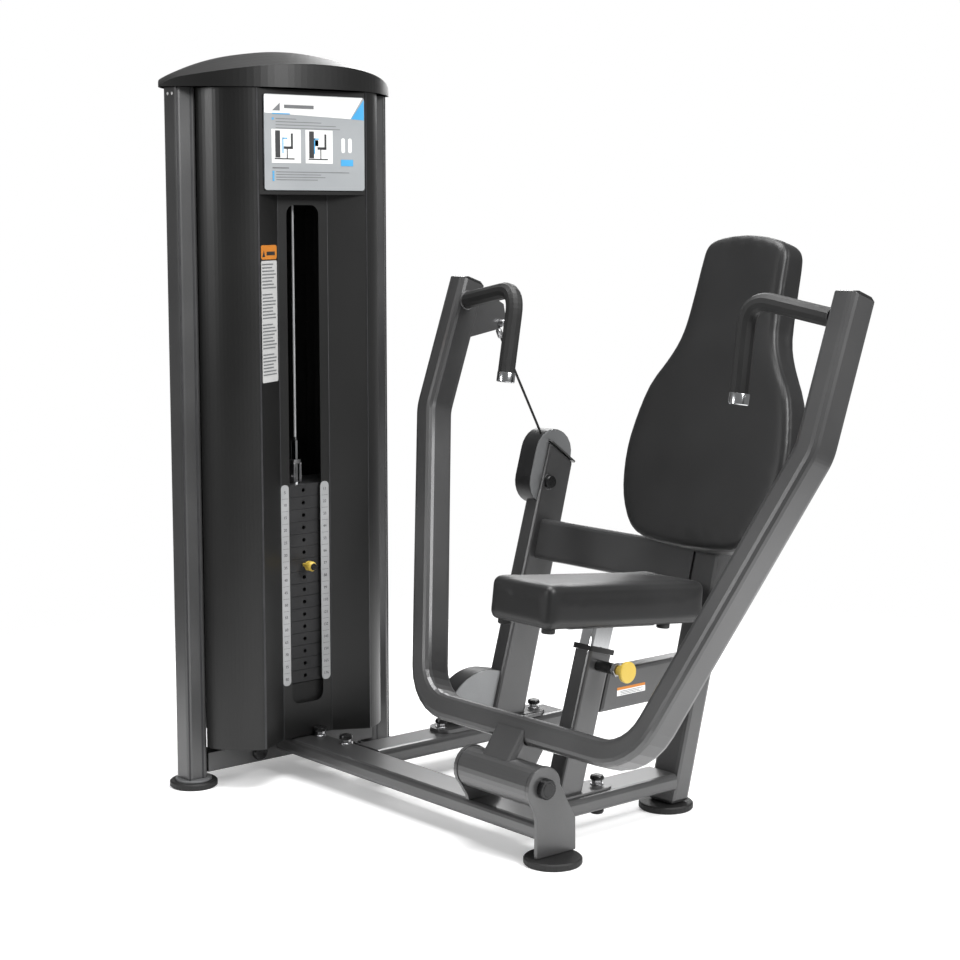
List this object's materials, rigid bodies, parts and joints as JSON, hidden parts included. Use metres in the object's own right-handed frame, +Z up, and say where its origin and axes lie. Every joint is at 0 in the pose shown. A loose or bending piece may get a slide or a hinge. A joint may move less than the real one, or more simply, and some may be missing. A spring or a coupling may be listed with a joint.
{
  "type": "chest press machine",
  "caption": "Seated chest press gym machine with a shrouded weight tower, pivoting U-shaped press frame, adjustable seat and cable drive.",
  "frame": {"origin": "middle of the footprint on the floor", "axes": "+Z up; the user sits facing -Y; +X runs from the weight tower towards the seat"},
  "size_m": [1.6547, 1.1224, 1.743],
  "materials": {
    "frame_paint": "satin metallic charcoal powder coat",
    "shroud_plastic": "satin black moulded plastic",
    "pad_vinyl": "matt black grained vinyl",
    "black_rubber": "matt black rubber",
    "chrome_steel": "bright chrome plate",
    "bright_steel": "zinc plated steel",
    "plate_iron": "black painted iron",
    "yellow_knob": "matt yellow plastic",
    "placard_card": "printed card under clear film",
    "black_nylon": "satin black nylon"
  },
  "bodies": {
    "frame": {"back_pad": "pad_vinyl", "back_pad_bracket": "frame_paint", "base_pulley_bracket": "frame_paint", "base_rail": "frame_paint", "cross_rail": "frame_paint", "drive_cable": "black_nylon", "foot_pulley_guard": "black_nylon", "front_foot_pad": "black_rubber", "front_shroud": "shroud_plastic", "guide_rod_left": "chrome_steel", "guide_rod_right": "chrome_steel", "lower_cross_tube": "frame_paint", "mast": "frame_paint", "mast_pulley_guard": "black_nylon", "pivot_plate_inner": "frame_paint", "pivot_plate_outer": "frame_paint", "pivot_shaft": "bright_steel", "placard": "placard_card", "pop_pin_barrel": "bright_steel", "rear_foot_pad": "black_rubber", "rear_shroud": "shroud_plastic", "rear_upright": "frame_paint", "resting_plates": "plate_iron", "seat_rail": "frame_paint", "seat_sleeve": "frame_paint", "stack_bumper": "black_rubber", "tower_base_beam": "frame_paint", "tower_cap": "shroud_plastic", "tower_column_left": "frame_paint", "tower_column_right": "frame_paint", "tower_foot_left": "black_rubber", "tower_foot_right": "black_rubber", "tower_top_beam": "frame_paint", "upper_cross_tube": "frame_paint"},
    "press_arm": {"press_frame": "frame_paint", "pivot_tube": "frame_paint", "carrier_tube": "frame_paint", "grip_left": "black_rubber", "grip_right": "black_rubber", "cable_fin": "frame_paint", "arm_cable": "black_nylon"},
    "weight_stack": {"head_plate": "plate_iron", "lifted_plate_1": "plate_iron", "lifted_plate_2": "plate_iron", "lifted_plate_3": "plate_iron", "lifted_plate_4": "plate_iron", "lifted_plate_5": "plate_iron", "lifted_plate_6": "plate_iron", "selector_stem": "chrome_steel", "stack_cable": "bright_steel"},
    "selector": {"selector_pin": "yellow_knob"},
    "seat": {"seat_post": "chrome_steel", "seat_plate": "frame_paint", "seat_pad": "pad_vinyl"},
    "pop_pin": {"pop_pin_knob": "yellow_knob"},
    "mast_wheel": {"mast_pulley": "black_nylon"},
    "foot_wheel": {"foot_pulley": "black_nylon"},
    "turn_wheel": {"turn_pulley": "black_nylon"},
    "tower_base_wheel": {"tower_base_pulley": "black_nylon"},
    "tower_top_wheel": {"tower_top_pulley": "black_nylon"}
  },
  "joints": [
    {"name": "press_arm", "type": "hinge", "parent": "frame", "child": "press_arm", "pos_m": [0.20265, -0.2672, 0.167], "axis": [1, 0, 0], "range_deg": [0, 30], "deforming": ["arm_cable"]},
    {"name": "stack_lift", "type": "slide", "parent": "frame", "child": "weight_stack", "axis": [0, 0, 1], "range_m": [0, 0.475], "deforming": ["stack_cable"]},
    {"name": "selector_pull", "type": "slide", "parent": "weight_stack", "child": "selector", "axis": [1, 0, 0], "range_m": [0, 0.07]},
    {"name": "seat_height", "type": "slide", "parent": "frame", "child": "seat", "axis": [0, 0.279, 0.9603], "range_m": [-0.035, 0.06]},
    {"name": "pop_pin_pull", "type": "slide", "parent": "frame", "child": "pop_pin", "axis": [1, 0, 0], "range_m": [0, 0.01], "stiffness_N_per_m": 500, "springref_m": -0.008},
    {"name": "mast_wheel_spin", "type": "hinge", "parent": "frame", "child": "mast_wheel", "pos_m": [-0.39735, 0.3898, 0.689], "axis": [1, 0, 0], "range_deg": [0, 560]},
    {"name": "foot_wheel_spin", "type": "hinge", "parent": "frame", "child": "foot_wheel", "pos_m": [-0.39735, 0.2448, 0.155], "axis": [1, 0, 0], "range_deg": [0, 560]},
    {"name": "turn_wheel_spin", "type": "hinge", "parent": "frame", "child": "turn_wheel", "pos_m": [-0.41935, -0.2082, 0.072], "axis": [0, 0, 1], "range_deg": [0, 1240]},
    {"name": "tower_base_wheel_spin", "type": "hinge", "parent": "frame", "child": "tower_base_wheel", "pos_m": [-0.73285, -0.2302, 0.112], "axis": [0, 1, 0], "range_deg": [-690, 0]},
    {"name": "tower_top_wheel_spin", "type": "hinge", "parent": "frame", "child": "tower_top_wheel", "pos_m": [-0.6926, -0.2302, 1.5], "axis": [0, 1, 0], "range_deg": [-350, 0]}
  ],
  "couplings": [
    {"joint": "stack_lift", "follows": "press_arm", "m_per_rad": 0.9},
    {"joint": "mast_wheel_spin", "follows": "press_arm", "ratio": 18.182},
    {"joint": "foot_wheel_spin", "follows": "press_arm", "ratio": 18.182},
    {"joint": "turn_wheel_spin", "follows": "press_arm", "ratio": 40.909},
    {"joint": "tower_base_wheel_spin", "follows": "press_arm", "ratio": -22.5},
    {"joint": "tower_top_wheel_spin", "follows": "press_arm", "ratio": -11.215}
  ]
}
